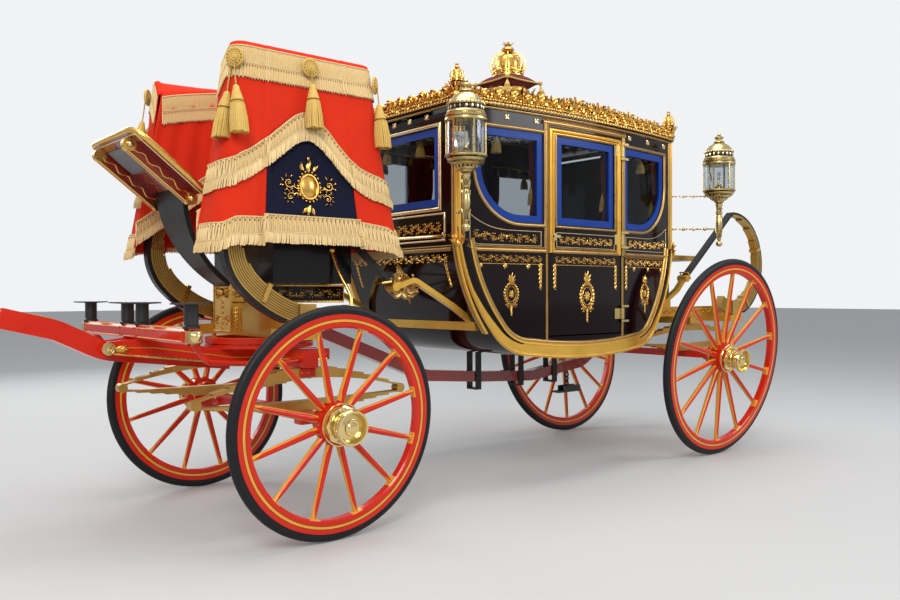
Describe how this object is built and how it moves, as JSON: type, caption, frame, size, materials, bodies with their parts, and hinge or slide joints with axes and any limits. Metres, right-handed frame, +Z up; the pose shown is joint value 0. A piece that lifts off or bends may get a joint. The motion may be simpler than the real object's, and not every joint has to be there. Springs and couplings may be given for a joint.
{
  "type": "horse-drawn state coach",
  "caption": "Ceremonial coach hung on C-springs, with glazed doors, tasselled box seat, gilt roof crown, steered fore-carriage and centre pole.",
  "frame": {"origin": "on the ground, midway between the pole's tip and the back of the rear springs, on the coach's centre line", "axes": "+X forwards, +Y to the coach's left, +Z up"},
  "size_m": [8.01, 1.9956, 3.0198],
  "materials": {
    "vermilion_paint": "gloss vermilion coach paint with gold lining",
    "black_lacquer": "very dark claret coach lacquer, polished",
    "gilding": "burnished gilding on carved wood and iron",
    "gold_iron": "old gold paint on spring steel",
    "brass_fittings": "polished brass",
    "rubber_tyre": "solid black rubber",
    "blue_frame": "royal blue painted sash",
    "clear_glass": "clear flat glass",
    "red_cloth": "red box cloth with cream bullion fringe",
    "black_leather": "black harness leather, stitched",
    "black_iron": "black painted iron",
    "crimson_damask": "buttoned crimson damask"
  },
  "bodies": {
    "root": {"perch": "vermilion_paint", "rear_carriage": "gilding", "rear_axle": "vermilion_paint", "rear_under_springs": "gold_iron", "rear_c_springs": "gold_iron", "braces": "black_leather", "upper_fore_carriage": "gilding", "upper_wheel_plate": "vermilion_paint", "front_c_springs": "gold_iron", "body_loops": "gold_iron", "check_straps": "black_leather", "drag_shoe": "black_iron", "body_bottom": "black_lacquer", "rocker_bands": "gilding", "front_panel": "black_lacquer", "rear_panel": "black_lacquer", "quarter_panels": "black_lacquer", "roof": "black_lacquer", "cresting": "gilding", "roof_cushion": "red_cloth", "centre_crown": "gilding", "window_frames": "blue_frame", "window_glass": "clear_glass", "cabin_seats": "crimson_damask", "lamps": "brass_fittings", "lamp_glasses": "clear_glass", "boot": "black_lacquer", "boot_front": "black_leather", "footboard": "vermilion_paint", "hammercloth": "red_cloth", "platform": "black_lacquer", "door_hinges": "brass_fittings"},
    "fore_carriage": {"lower_wheel_plate": "vermilion_paint", "futchells": "vermilion_paint", "splinter_bar": "vermilion_paint", "roller_bolts": "black_iron", "pole": "vermilion_paint", "pole_head": "brass_fittings", "front_axle": "vermilion_paint", "front_under_springs": "gold_iron"},
    "wheel_fl": {"tyre_fl": "rubber_tyre", "wheel_fl": "vermilion_paint", "hub_cap_fl": "brass_fittings"},
    "wheel_fr": {"tyre_fr": "rubber_tyre", "wheel_fr": "vermilion_paint", "hub_cap_fr": "brass_fittings"},
    "wheel_rl": {"tyre_rl": "rubber_tyre", "wheel_rl": "vermilion_paint", "hub_cap_rl": "brass_fittings"},
    "wheel_rr": {"tyre_rr": "rubber_tyre", "wheel_rr": "vermilion_paint", "hub_cap_rr": "brass_fittings"},
    "door_left": {"door_left": "black_lacquer", "door_frame_left": "blue_frame", "door_glass_left": "clear_glass", "door_furniture_left": "brass_fittings"},
    "door_right": {"door_right": "black_lacquer", "door_frame_right": "blue_frame", "door_glass_right": "clear_glass", "door_furniture_right": "brass_fittings"}
  },
  "joints": [
    {"name": "fore_carriage_steer", "type": "hinge", "parent": "root", "child": "fore_carriage", "pos_m": [0.455, 0, 0.95], "axis": [0, 0, 1], "range_deg": [-30, 30]},
    {"name": "wheel_fl_spin", "type": "hinge", "parent": "fore_carriage", "child": "wheel_fl", "pos_m": [0.455, 0.81, 0.58207], "axis": [0, 0.9983, -0.0576], "continuous": true},
    {"name": "wheel_fr_spin", "type": "hinge", "parent": "fore_carriage", "child": "wheel_fr", "pos_m": [0.455, -0.81, 0.58207], "axis": [0, 0.9983, 0.0576], "continuous": true},
    {"name": "wheel_rl_spin", "type": "hinge", "parent": "root", "child": "wheel_rl", "pos_m": [-2.945, 0.825, 0.7354], "axis": [0, 0.9936, -0.1132], "continuous": true},
    {"name": "wheel_rr_spin", "type": "hinge", "parent": "root", "child": "wheel_rr", "pos_m": [-2.945, -0.825, 0.7354], "axis": [0, 0.9936, 0.1132], "continuous": true},
    {"name": "door_left_hinge", "type": "hinge", "parent": "root", "child": "door_left", "pos_m": [-1.891, 0.70575, 1.6], "axis": [0, 0, 1], "range_deg": [0, 95]},
    {"name": "door_right_hinge", "type": "hinge", "parent": "root", "child": "door_right", "pos_m": [-1.891, -0.70575, 1.6], "axis": [0, 0, -1], "range_deg": [0, 95]}
  ]
}
